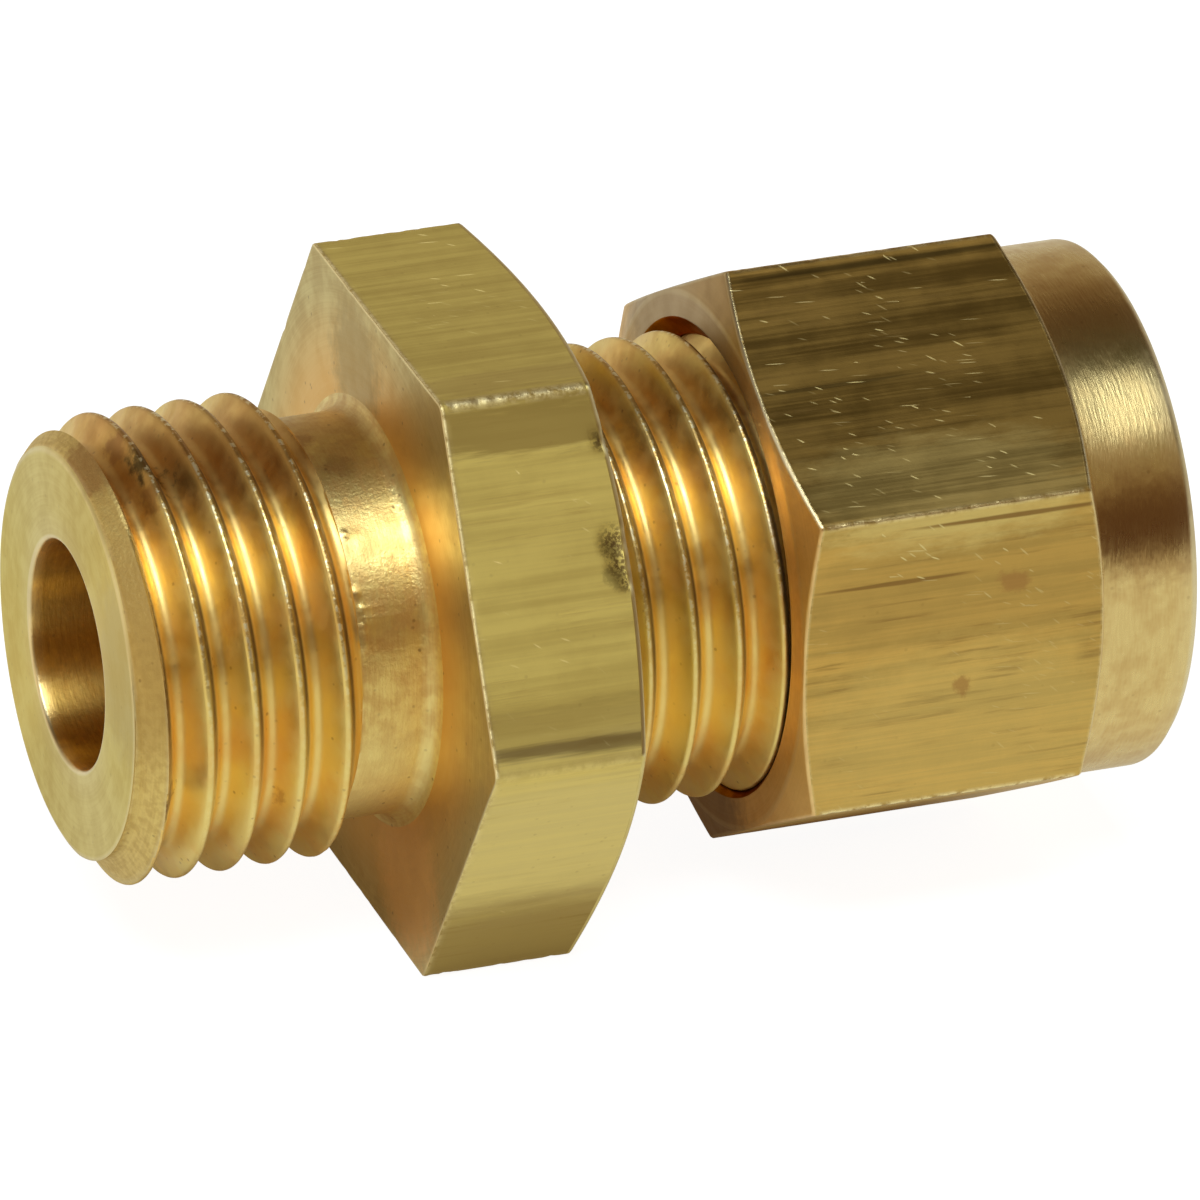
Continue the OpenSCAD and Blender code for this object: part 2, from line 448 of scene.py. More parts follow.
# Knocks in the far edge of the flange, where a spanner has slipped: angle, x, reach and depth
flange_knocks = [(38, 4.5, 0.4, 0.1), (55, 4.45, 0.6, 0.13), (59, 4.5, 0.5, 0.1), (62, 4.6, 0.35, 0.08)]
for phi, x, reach, depth in flange_knocks:
    body_nicks.append((round_axis(x, bar_radius(phi, FLANGE_AF, 0, BODY_CORNER), phi), reach, depth))
# Small burrs that the die threw up where the stud's thread runs out: angle and x
BURR_REACH = 0.16
BURR_HEIGHT = 0.07
burr_places = [(38, -2.05), (55, -2.1), (60, -2.0), (62.5, -1.95), (65, -2.05), (69, -2.0), (70.5, -2.1)]
for phi, x in burr_places:
    body_nicks.append((round_axis(x, NECK_R, phi), BURR_REACH, -BURR_HEIGHT))

# The knocks and the burrs need angles closer together
fine_angles = [float(n) for n in range(33, 67, 2)]
body_angles = sorted(set(ring_angles(0, FLANGE_AF, BODY_CORNER, 2) + fine_angles))
body = turn_piece("coupling_body_brass", body_angles, body_outline, body_nicks)


def add(tree, kind, sockets=None, **settings):
    """One shader node: a plain value is set on its input, and another node's output is linked to it."""
    made = tree.nodes.new(kind)
    for key, value in settings.items():
        setattr(made, key, value)
    for key, value in (sockets or {}).items():
        if isinstance(value, bpy.types.NodeSocket):
            tree.links.new(value, made.inputs[key])
        else:
            made.inputs[key].default_value = value
    return made


def maths(tree, operation, a, b):
    return add(tree, "ShaderNodeMath", {0: a, 1: b}, operation=operation).outputs[0]


def times(tree, a, b):
    return maths(tree, "MULTIPLY", a, b)


def plus(tree, a, b):
    return maths(tree, "ADD", a, b)


def vector_maths(tree, operation, **sockets):
    """Vector maths on sockets named a, b and scale: a number for a length, and a vector otherwise."""
    numbered = {{"a": 0, "b": 1, "scale": 3}[key]: value for key, value in sockets.items()}
    made = add(tree, "ShaderNodeVectorMath", numbered, operation=operation)
    return made.outputs["Value" if operation == "LENGTH" else "Vector"]


def stretched(tree, vector, x, y, z):
    return vector_maths(tree, "MULTIPLY", a=vector, b=(x, y, z))


def axes_of(tree, vector):
    return add(tree, "ShaderNodeSeparateXYZ", {0: vector}).outputs


def blended(tree, share, a, b):
    return add(tree, "ShaderNodeMix", {0: share, 6: a, 7: b}, data_type="RGBA").outputs[2]


def spread(tree, value, low, high, to_low=0.0, to_high=1.0, smooth=True):
    """A value between low and high, spread over another range."""
    ranged = add(
        tree,
        "ShaderNodeMapRange",
        {"Value": value, "From Min": low, "From Max": high, "To Min": to_low, "To Max": to_high},
        interpolation_type="SMOOTHSTEP" if smooth else "LINEAR",
    )
    return ranged.outputs[0]


def noise(tree, vector, scale, detail, rough):
    made = add(
        tree,
        "ShaderNodeTexNoise",
        {"Vector": vector, "Scale": scale, "Detail": detail, "Roughness": rough},
        noise_dimensions="3D",
    )
    return made.outputs["Fac"]


def effect(name, inputs, outputs):
    """An empty shader node group with its sockets, and the two nodes at its ends."""
    group = bpy.data.node_groups.new(name, "ShaderNodeTree")
    for label, kind, value in inputs:
        made = group.interface.new_socket(label, in_out="INPUT", socket_type=kind)
        if value is not None:
            made.default_value = value
    for label, kind in outputs:
        group.interface.new_socket(label, in_out="OUTPUT", socket_type=kind)
    return group, group.nodes.new("NodeGroupInput").outputs, group.nodes.new("NodeGroupOutput").inputs


FLOAT, VECTOR = "NodeSocketFloat", "NodeSocketVector"

# Streaks that the drawing die leaves along a bar, with the brown stains that follow them
drawn, given, result = effect(
    "drawn_bar_streaks",
    [("Place", VECTOR, None)],
    [("Height", FLOAT), ("Tone", FLOAT), ("Stain", FLOAT)],
)
place = given["Place"]
fine = noise(drawn, stretched(drawn, place, 0.15, 9, 9), 1.0, 3.0, 0.6)
wide = noise(drawn, stretched(drawn, place, 0.07, 2.4, 2.4), 1.0, 3.0, 0.6)
hair = noise(drawn, stretched(drawn, place, 0.06, 26, 26), 1.0, 1.0, 0.5)
drawn.links.new(plus(drawn, fine, times(drawn, hair, 0.6)), result["Height"])
broad = noise(drawn, stretched(drawn, place, 0.1, 0.9, 0.9), 1.0, 2.0, 0.6)
cloudy = noise(drawn, place, 0.9, 4.0, 0.65)
tone = plus(drawn, times(drawn, wide, 0.35), times(drawn, fine, 0.2))
tone = plus(drawn, tone, times(drawn, broad, 0.3))
tone = plus(drawn, tone, times(drawn, cloudy, 0.15))
drawn.links.new(spread(drawn, tone, 0.4, 0.6), result["Tone"])
patch = noise(drawn, stretched(drawn, place, 0.35, 0.5, 0.5), 1.0, 2.0, 0.5)
blot = noise(drawn, stretched(drawn, place, 0.3, 6, 6), 1.0, 4.0, 0.6)
stain = times(drawn, spread(drawn, blot, 0.5, 0.7), spread(drawn, patch, 0.42, 0.62))
drawn.links.new(stain, result["Stain"])

# Marks that a lathe tool leaves round the axis
turned, given, result = effect(
    "lathe_tool_marks",
    [("Place", VECTOR, None), ("Rings", FLOAT, 14.0), ("Waver", FLOAT, 1.6)],
    [("Height", FLOAT), ("Tone", FLOAT), ("Radius", FLOAT)],
)
axes = axes_of(turned, given["Place"])
end_on = add(turned, "ShaderNodeCombineXYZ", {1: axes[1], 2: axes[2]}).outputs[0]
radius = vector_maths(turned, "LENGTH", a=end_on)
around = vector_maths(turned, "NORMALIZE", a=end_on)
across = times(turned, plus(turned, axes[0], radius), given["Rings"])
slow = vector_maths(turned, "SCALE", a=around, scale=given["Waver"])
ringed = vector_maths(turned, "ADD", a=slow, b=add(turned, "ShaderNodeCombineXYZ", {0: across}).outputs[0])
marks = noise(turned, ringed, 1.0, 2.0, 0.6)
turned.links.new(radius, result["Radius"])
turned.links.new(marks, result["Height"])
turned.links.new(spread(turned, marks, 0.35, 0.65), result["Tone"])

# Thin straight scratches from handling, in a few directions over the unrolled surface: each cell of a
# stretched cell pattern may hold one scratch
scratched, given, result = effect(
    "handling_scratches",
    [("Place", VECTOR, None), ("Share", FLOAT, 0.1)],
    [("Mask", FLOAT)],
)
UNROLL_R = 8.0
# The directions: bearing in radians, and the cells' stretch along and across the scratch
SCRATCHES = [(0.75, 1.0, 7.0), (0.6, 1.4, 8.0), (0.4, 1.2, 8.0), (0.1, 0.6, 10.0)]
axes = axes_of(scratched, given["Place"])
round_bar = times(scratched, maths(scratched, "ARCTAN2", axes[1], axes[2]), UNROLL_R)
unrolled = add(scratched, "ShaderNodeCombineXYZ", {0: axes[0], 1: round_bar}).outputs[0]
busy = noise(scratched, given["Place"], 0.3, 2.0, 0.5)
share = times(scratched, given["Share"], spread(scratched, busy, 0.42, 0.6, 0.2, 1.8))
total = None
for bearing, along, across in SCRATCHES:
    turn = {"Vector": unrolled, "Angle": bearing}
    swung = add(scratched, "ShaderNodeVectorRotate", turn, rotation_type="Z_AXIS").outputs[0]
    cell = {"Vector": stretched(scratched, swung, along, across, 1), "Scale": 1.0}
    cells = add(scratched, "ShaderNodeTexVoronoi", cell, voronoi_dimensions="2D").outputs
    dice = add(scratched, "ShaderNodeSeparateColor", {0: cells["Color"]}).outputs
    chosen = maths(scratched, "LESS_THAN", dice[2], share)
    line = spread(scratched, cells["Distance"], 0.22, 0.08)
    faint = times(scratched, line, spread(scratched, dice[1], 0, 1, 0.15, 1, False))
    mask = times(scratched, faint, chosen)
    total = mask if total is None else maths(scratched, "MAXIMUM", total, mask)
scratched.links.new(total, result["Mask"])

# The fine mottling and small pits of bare brass
mottled, given, result = effect(
    "brass_mottling",
    [("Place", VECTOR, None), ("Clouds", FLOAT, 1.3)],
    [("Height", FLOAT), ("Tone", FLOAT), ("Pits", FLOAT)],
)
grain = noise(mottled, given["Place"], 9.0, 4.0, 0.65)
cloud = noise(mottled, given["Place"], given["Clouds"], 3.0, 0.55)
mottled.links.new(grain, result["Height"])
mottled.links.new(spread(mottled, cloud, 0.35, 0.65), result["Tone"])
specks = add(mottled, "ShaderNodeTexVoronoi", {"Vector": given["Place"], "Scale": 2.2}).outputs
pick = add(mottled, "ShaderNodeSeparateColor", {0: specks["Color"]}).outputs[0]
mottled.links.new(times(mottled, spread(mottled, specks["Distance"], 0.16, 0.05), pick), result["Pits"])

# A spot with a ragged edge, which may be drawn out along the piece: it lays on tarnish and grease, and also
# painted shade and painted reflections
spotted, given, result = effect(
    "stain_and_shade_spot",
    [("Place", VECTOR, None), ("Spot", VECTOR, None), ("Reach", FLOAT, 0.5), ("Squeeze", FLOAT, 1.0)],
    [("Mask", FLOAT)],
)
squeeze = add(spotted, "ShaderNodeCombineXYZ", {0: given["Squeeze"], 1: 1.0, 2: 1.0}).outputs[0]
from_spot = vector_maths(spotted, "SUBTRACT", a=given["Place"], b=given["Spot"])
drawn_out = vector_maths(spotted, "MULTIPLY", a=from_spot, b=squeeze)
away = vector_maths(spotted, "LENGTH", a=drawn_out)
ragged = noise(spotted, drawn_out, 2.5, 4.0, 0.65)
wobble = spread(spotted, ragged, 0.0, 1.0, -0.9, 0.9, False)
wobble = maths(spotted, "DIVIDE", wobble, maths(spotted, "MAXIMUM", given["Reach"], 1.0))
edge = plus(spotted, maths(spotted, "DIVIDE", away, given["Reach"]), wobble)
spotted.links.new(spread(spotted, edge, 1.0, 0.45), result["Mask"])


def use(tree, group, **sockets):
    """One of the effects above, placed in a material."""
    return add(tree, "ShaderNodeGroup", sockets, node_tree=group).outputs


def place_in_mm(tree):
    here = add(tree, "ShaderNodeTexCoord").outputs["Object"]
    return stretched(tree, here, 1 / MM, 1 / MM, 1 / MM)


def new_brass(name, lengthwise, grain):
    """A fresh metal material: the material, its tree, its shader, and the place on the piece in mm. Its
    grain runs along the bar, or round the axis as a lathe leaves it."""
    material = bpy.data.materials.new(name)
    material.use_nodes = True
    tree = material.node_tree
    shader = tree.nodes["Principled BSDF"].inputs
    shader["Metallic"].default_value = 1.0
    shader["Anisotropic"].default_value = grain
    shader["Anisotropic Rotation"].default_value = 0.0 if lengthwise else 0.25
    tangent = add(tree, "ShaderNodeTangent", direction_type="RADIAL", axis="X").outputs[0]
    tree.links.new(tangent, shader["Tangent"])
    return material, tree, shader, place_in_mm(tree)


def attribute(tree, name):
    return add(tree, "ShaderNodeAttribute", attribute_name=name, attribute_type="GEOMETRY").outputs["Fac"]


def bumped(tree, height, microns, under=None):
    sockets = {"Height": height, "Distance": microns * 1e-6, "Strength": 1.0}
    if under is not None:
        sockets["Normal"] = under
    return add(tree, "ShaderNodeBump", sockets).outputs[0]


def with_spots(tree, place, colour, spots):
    """The colour with its spots laid on. Each is (x, radius, angle, reach, squeeze, strength, colour)."""
    for x, r, phi, reach, squeeze, strength, tint in spots:
        spot = round_axis(x, r, phi)
        mask = use(tree, spotted, Place=place, Spot=spot, Reach=reach, Squeeze=squeeze)["Mask"]
        colour = blended(tree, times(tree, mask, strength), colour, tint)
    return colour


def flats_brass(name, gold, khaki, brown, roughness, uneven, scratches, streak_microns, stains, spots):
    """The drawn skin of the bar: long streaks, brown stains, scratches, and a bright worn edge, which along
    one of the flange's corners is also a painted highlight.
    """
    fresh_cut = (1.0, 0.86, 0.38, 1)
    bruise = (0.42, 0.27, 0.09, 1)
    knocked = (0.22, 0.14, 0.045, 1)
    rubbed = (1.0, 0.84, 0.42, 1)
    material, tree, shader, place = new_brass(name, True, 0.6)
    bar = use(tree, drawn, Place=place)
    height = axes_of(tree, place)[2]
    cuts = use(tree, scratched, Place=place, Share=scratches)["Mask"]
    cuts = times(tree, cuts, spread(tree, height, 0.5, 3.5, 0.25, 1.0))
    grainy = use(tree, mottled, Place=place)
    torn = noise(tree, place, 4.0, 3.0, 0.6)
    wear = attribute(tree, "wear")
    # Rubbed bright edges; along the flange's corner at 30 degrees this also paints a highlight
    rub_and_sheen = times(tree, wear, spread(tree, torn, 0.32, 0.56))
    colour = blended(tree, bar["Tone"], khaki, gold)
    colour = blended(tree, times(tree, bar["Stain"], stains), colour, brown)
    colour = with_spots(tree, place, colour, spots)
    colour = blended(tree, times(tree, grainy["Pits"], 0.2), colour, brown)
    colour = blended(tree, cuts, colour, fresh_cut)
    dents = times(tree, wear, spread(tree, torn, 0.56, 0.44, 0.0, 0.8))
    colour = blended(tree, dents, colour, bruise)
    knock = times(tree, attribute(tree, "hollow"), spread(tree, grainy["Height"], 0.42, 0.56))
    colour = blended(tree, knock, colour, knocked)
    colour = blended(tree, rub_and_sheen, colour, rubbed)
    tree.links.new(colour, shader["Base Color"])
    matt = plus(tree, times(tree, bar["Stain"], 0.1), roughness)
    matt = plus(tree, matt, spread(tree, bar["Tone"], 0.0, 1.0, -uneven, uneven, False))
    matt = plus(tree, matt, times(tree, cuts, 0.25))
    matt = maths(tree, "SUBTRACT", matt, times(tree, rub_and_sheen, 0.12))
    tree.links.new(matt, shader["Roughness"])
    normal = bumped(tree, bar["Height"], streak_microns)
    normal = bumped(tree, cuts, -2.0, normal)
    coarse = times(tree, grainy["Height"], plus(tree, wear, 0.08))
    normal = bumped(tree, coarse, 14.0, normal)
    tree.links.new(normal, shader["Normal"])
    return material


def turned_brass(name, gold, dull, roughness, mark_microns, rings=14.0, grain=0.75, mottle_microns=2.5,
                 painted_inner_reflection=None, waver=1.6, clouds=1.3, pits=0.35, spots=()):
    """Brass fresh from the lathe: fine rings, a slight mottle and bright arrises. A face may have another
    colour near its middle, a painted reflection of what stands beside it."""
    pitted = (0.25, 0.13, 0.04, 1)
    arris = (0.95, 0.83, 0.5, 1)
    material, tree, shader, place = new_brass(name, False, grain)
    lathe = use(tree, turned, Place=place, Rings=rings, Waver=waver)
    grainy = use(tree, mottled, Place=place, Clouds=clouds)
    wear = attribute(tree, "wear")
    share = plus(tree, times(tree, grainy["Tone"], 0.7), times(tree, lathe["Tone"], 0.3))
    colour = blended(tree, share, dull, gold)
    if painted_inner_reflection is not None:
        colour = blended(tree, spread(tree, lathe["Radius"], 6.2, 9.4), painted_inner_reflection, colour)
    colour = with_spots(tree, place, colour, spots)
    colour = blended(tree, times(tree, grainy["Pits"], pits), colour, pitted)
    colour = blended(tree, times(tree, wear, 0.8), colour, arris)
    tree.links.new(colour, shader["Base Color"])
    matt = spread(tree, share, 0, 1, roughness + 0.06, roughness - 0.04, False)
    tree.links.new(matt, shader["Roughness"])
    normal = bumped(tree, lathe["Height"], mark_microns)
    normal = bumped(tree, grainy["Height"], mottle_microns, normal)
    tree.links.new(normal, shader["Normal"])
    return material


def thread_brass(name, gold, root, roughness, spots):
    """A cut thread: burred crests with painted glint and shade up top, orange roots where dirt and cutting
    oil stay.
    """
    oiled = (0.94, 0.56, 0.15, 1)
    browned = (0.66, 0.36, 0.09, 1)
    dirt_and_shade_colour = (0.15, 0.08, 0.025, 1)
    pitted = (0.3, 0.15, 0.05, 1)
    grimy_and_shaded = (0.42, 0.24, 0.07, 1)
    burr_and_glint = (1.0, 0.9, 0.55, 1)
    material, tree, shader, place = new_brass(name, False, 0.4)
    height = axes_of(tree, place)[2]
    lathe = use(tree, turned, Place=place)
    grainy = use(tree, mottled, Place=place)
    wear, hollow = attribute(tree, "wear"), attribute(tree, "hollow")
    colour = blended(tree, spread(tree, hollow, 0.15, 0.9), gold, root)
    smudge = noise(tree, stretched(tree, place, 0.55, 0.4, 0.4), 1.0, 4.0, 0.6)
    colour = blended(tree, spread(tree, smudge, 0.42, 0.66, 0.1, 0.55), colour, oiled)
    patchy = noise(tree, stretched(tree, place, 0.9, 0.6, 0.6), 1.0, 4.0, 0.6)
    # Browner patches, stronger over the upper part of the thread
    upper = spread(tree, height, 3.0, 6.0, 0.1, 1.0)
    brown = times(tree, spread(tree, patchy, 0.36, 0.66, 0.15, 0.55), upper)
    colour = blended(tree, brown, colour, browned)
    # Dirt with painted shade: a dark line on the flank just behind each crest, strong over the upper part
    # and faint low down
    lee_dirt_and_shade = times(tree, attribute(tree, "lee"), spread(tree, patchy, 0.34, 0.5, 0.8, 1.0))
    lee_dirt_and_shade = times(tree, lee_dirt_and_shade, spread(tree, height, -3.0, 1.5, 0.1, 1.0))
    colour = blended(tree, lee_dirt_and_shade, colour, dirt_and_shade_colour)
    colour = with_spots(tree, place, colour, spots)
    colour = blended(tree, times(tree, grainy["Pits"], 0.5), colour, pitted)
    torn = noise(tree, place, 4.0, 3.0, 0.6)
    # The crests' bright and dark burr colours are painted strongest over the upper part, where the light
    # falls: burr partly, painted glint and shade partly
    wear = times(tree, wear, spread(tree, height, 0.0, 3.5, 0.12, 1.0))
    crest_grime_and_shade = times(tree, wear, spread(tree, torn, 0.54, 0.44, 0.0, 0.55))
    colour = blended(tree, crest_grime_and_shade, colour, grimy_and_shaded)
    burr_and_glint_mask = times(tree, wear, spread(tree, torn, 0.5, 0.58))
    colour = blended(tree, burr_and_glint_mask, colour, burr_and_glint)
    tree.links.new(colour, shader["Base Color"])
    matt = spread(tree, grainy["Tone"], 0, 1, roughness - 0.04, roughness + 0.08, False)
    tree.links.new(matt, shader["Roughness"])
    normal = bumped(tree, lathe["Height"], 1.2)
    rough_skin = plus(tree, grainy["Height"], torn)
    burred = plus(tree, times(tree, wear, 1.6), 0.15)
    normal = bumped(tree, times(tree, rough_skin, burred), 8.0, normal)
    tree.links.new(normal, shader["Normal"])
    return material


soot = (0.13, 0.09, 0.03, 1)
rust = (0.42, 0.20, 0.06, 1)
grease = (0.24, 0.12, 0.04, 1)
# Painted shade in bands beside the bar's corners, the broadest along its lowest corner, a paler band on the
# flat above that, and the dirt in the knocks
flange_spots = [
    (2.4, 9.95, 34.5, 0.9, 0.1, 0.85, (0.48, 0.34, 0.09, 1)),
    (2.4, 9.93, 25, 0.7, 0.1, 0.4, (0.5, 0.33, 0.1, 1)),
    (2.4, 9.85, 84, 0.8, 0.1, 0.45, (0.5, 0.36, 0.1, 1)),
    (2.9, 10.15, 87, 0.3, 0.05, 0.85, (0.26, 0.17, 0.05, 1)),
    (2.4, 9.5, 112, 5.0, 0.15, 0.5, (0.86, 0.74, 0.34, 1)),
    (2.4, 10.39, 150, 5.0, 0.15, 0.8, (0.40, 0.27, 0.08, 1)),
    (4.3, 9.05, 56, 0.42, 1.0, 0.45, soot),
    (4.25, 9.0, 61, 0.4, 1.0, 0.4, soot),
    (4.5, 9.7, 38, 0.3, 1.0, 0.5, soot),
]
# A brown patch over the top of the stud, and grease and rust-brown specks in both threads
thread_spots = [
    (-5.2, 6.4, -2, 4.0, 0.6, 0.4, (0.48, 0.22, 0.05, 1)),
    (-6.88, 6.45, 10.3, 1.0, 1.3, 0.9, soot),
    (-7.6, 6.3, -1, 0.7, 1.2, 0.7, rust),
    (-7.3, 6.3, 22, 0.6, 1.4, 0.6, rust),
    (-5.6, 6.4, 8, 0.7, 1.6, 0.5, rust),
    (-7.9, 6.3, 105, 0.75, 1.8, 0.9, grease),
    (-4.6, 6.2, 112, 0.5, 2.4, 0.5, rust),
    (7.78, 6.5, 20, 0.6, 1.5, 0.85, grease),
    (8.0, 6.4, 66, 0.5, 1.5, 0.6, rust),
]
tip_spots = [(-STUD_L, 5.2, 68, 3.4, 1.0, 0.75, (0.60, 0.47, 0.18, 1))]
neck_spots = [
    (-2.1, NECK_R, 0, 0.45, 1.0, 0.7, rust),
    (-1.5, NECK_R, 14, 0.6, 1.0, 0.35, rust),
    (-1.0, NECK_R, -14, 2.6, 1.0, 0.6, (0.56, 0.36, 0.13, 1)),
    (-1.5, NECK_R, 120, 3.0, 1.0, 0.6, (1.0, 0.86, 0.36, 1)),
]
chamfer_spots = [
    (-8.45, 6.1, 5, 1.5, 0.6, 0.6, rust),
    (-8.4, 6.1, 62, 4.2, 0.6, 0.75, (0.52, 0.35, 0.11, 1)),
]
# A darker patch over the top of the seat face, and a painted orange reflection of the neck and thread over
# its lower part
seat_spots = [
    (0.0, 7.1, -12, 2.5, 1.0, 0.75, (0.45, 0.32, 0.10, 1)),
    (0.0, 7.5, 150, 3.2, 1.0, 0.8, (1.0, 0.60, 0.20, 1)),
]
body_finishes = [
    flats_brass(
        "brass_bar_flats", gold=(0.90, 0.73, 0.21, 1), khaki=(0.78, 0.61, 0.165, 1),
        brown=(0.38, 0.22, 0.06, 1), roughness=0.55, uneven=0.03, scratches=0.012, streak_microns=0.8,
        stains=0.25, spots=flange_spots,
    ),
    turned_brass(
        "brass_turned", gold=(0.78, 0.64, 0.195, 1), dull=(0.70, 0.55, 0.16, 1), roughness=0.42,
        mark_microns=1.6, spots=tip_spots,
    ),
    thread_brass(
        "brass_thread", gold=(1.0, 0.82, 0.29, 1), root=(1.0, 0.76, 0.25, 1), roughness=0.4,
        spots=thread_spots,
    ),
    turned_brass(
        "brass_neck", gold=(0.99, 0.81, 0.31, 1), dull=(0.80, 0.55, 0.19, 1), roughness=0.44,
        mark_microns=6.0, rings=10.0, grain=0.7, mottle_microns=12.0, waver=6.0, clouds=1.9, pits=0.6,
        spots=neck_spots,
    ),
    turned_brass(
        "brass_bore", gold=(0.95, 0.62, 0.14, 1), dull=(0.60, 0.33, 0.06, 1), roughness=0.34,
        mark_microns=5.0, rings=10.0, mottle_microns=5.0, waver=5.0,
    ),
    turned_brass(
        "brass_tip_chamfer", gold=(0.84, 0.65, 0.23, 1), dull=(0.68, 0.49, 0.16, 1), roughness=0.52,
        mark_microns=1.2, rings=9.0, grain=0.2, mottle_microns=20.0, clouds=4.0, pits=0.6,
        spots=chamfer_spots,
    ),
    # The seat face is painted orange near the neck, as a reflection of the neck and thread
    turned_brass(
        "brass_seat_face", gold=(0.70, 0.58, 0.235, 1), dull=(0.54, 0.41, 0.155, 1), roughness=0.4,
        mark_microns=1.2, grain=0.3, mottle_microns=3.0, painted_inner_reflection=(0.86, 0.53, 0.15, 1), clouds=0.9,
        pits=0.5, spots=seat_spots,
    ),
]
for finish in body_finishes:
    body.data.materials.append(finish)
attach(body, "body")
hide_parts("coupling_body")


# ---------------------------------------------------------------------------------------------------
# The olive: a plain brass ring, turned to a barrel shape, that the nut squeezes on to the tube. It
# lies loose between its two seats, so only its bore shows, deep in the nut.

olive_low, olive_high = box_in_mm("olive")
OLIVE_BORE_R = SOCKET_R
OLIVE_R = olive_high[2]
OLIVE_TIP_R = 4.4
OLIVE_TAPER_L = (OLIVE_R - OLIVE_TIP_R) / SEAT_TAPER


def olive_outline(phi):
    """Round the ring from one end to the other. Its tapers run into its band by a soft bend."""
    low, high = olive_low[0], olive_high[0]
    bend_low, bend_high = low + OLIVE_TAPER_L, high - OLIVE_TAPER_L
    return [(0, [
        (low, OLIVE_BORE_R, 0.2),
        (low, OLIVE_TIP_R - BEVEL, 0.2),
        (low + BEVEL, OLIVE_TIP_R, 0.5),
        (bend_low - 0.15, OLIVE_R - 0.055, 0.0),
        (bend_low, OLIVE_R - 0.015, 0.0),
        (bend_low + 0.15, OLIVE_R, 0.0),
        (bend_high - 0.15, OLIVE_R, 0.0),
        (bend_high, OLIVE_R - 0.015, 0.0),
        (bend_high + 0.15, OLIVE_R - 0.055, 0.0),
        (high - BEVEL, OLIVE_TIP_R, 0.5),
        (high, OLIVE_TIP_R - BEVEL, 0.2),
        (high, OLIVE_BORE_R, 0.2),
        (high - 0.1, OLIVE_BORE_R - 0.001, 0.0),
        (low + 0.1, OLIVE_BORE_R - 0.001, 0.0),
    ], None)]


olive = turn_piece("olive_brass", range(0, 360, 3), olive_outline)
olive.data.materials.append(turned_brass(
    "brass_olive", gold=(0.86, 0.64, 0.28, 1), dull=(0.74, 0.53, 0.2, 1), roughness=0.3, mark_microns=1.2,
))
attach(olive, "olive")
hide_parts("olive")


# ---------------------------------------------------------------------------------------------------
# The compression nut: hexagon bar again, bored and tapped from its open end, with a turned collar
# behind the hexagon. Its flats are darker and more scratched, from lying loose in a bin.

nut_low, nut_high = box_in_mm("compression_nut")
NUT_AF = 15.4
NUT_X = nut_low[0]
NUT_END_X = nut_high[0]
NUT_HEX_END_X = NUT_X + 9.05
NUT_COLLAR_R = NUT_AF / 2 - 0.15
NUT_COLLAR_CHAMFER = 0.25
NUT_FACE_R = NUT_AF / 2 - 0.05
NUT_FACE_SLOPE = 19.5
NUT_BACK_SLOPE = 24
NUT_MOUTH_R = 6.92
NUT_MOUTH_SWAY = 0.17
NUT_MOUTH_WIDEST = -60
NUT_THREAD_GAP = 0.05
NUT_THREAD_R = THREAD_R + NUT_THREAD_GAP
NUT_THREAD_END_X = 15.4
NUT_SHOULDER_X = NUT_X + 6.5
NUT_SEAT_END_X = NUT_END_X - 2.45
NUT_HOLE_R = TUBE_R + 0.1
NUT_HOLE_EDGE = 0.25
NUT_SEAT_R = NUT_HOLE_R + (NUT_SEAT_END_X - NUT_SHOULDER_X) * SEAT_TAPER
NUT_TURN = -2
NUT_CORNER = 0.14
# The nut has no neck, so its end face has that place among its materials
NUT_FACE = NECK


def mouth_radius(phi):
    """The edge of the nut's countersink, which was cut a little off centre."""
    away = (1 - math.cos(math.radians(phi - NUT_MOUTH_WIDEST))) / 2
    return NUT_MOUTH_R - NUT_MOUTH_SWAY * away


def nut_thread_radius(x, phi):
    """The inside of the nut: a thread that lies just clear of the spigot's, and a countersink."""
    tapped = THREAD_R - thread_depth(x, phi, SPIGOT_START) + NUT_THREAD_GAP
    countersink = mouth_radius(phi) - (x - NUT_X)
    relief = NUT_THREAD_R - max(0.0, (NUT_THREAD_END_X - x) / math.tan(FLANK))
    return max(tapped, countersink, relief)


nut_screw = {
    "start": SPIGOT_START,
    "radius": nut_thread_radius,
    "wear": lambda x, phi: 0.0,
}


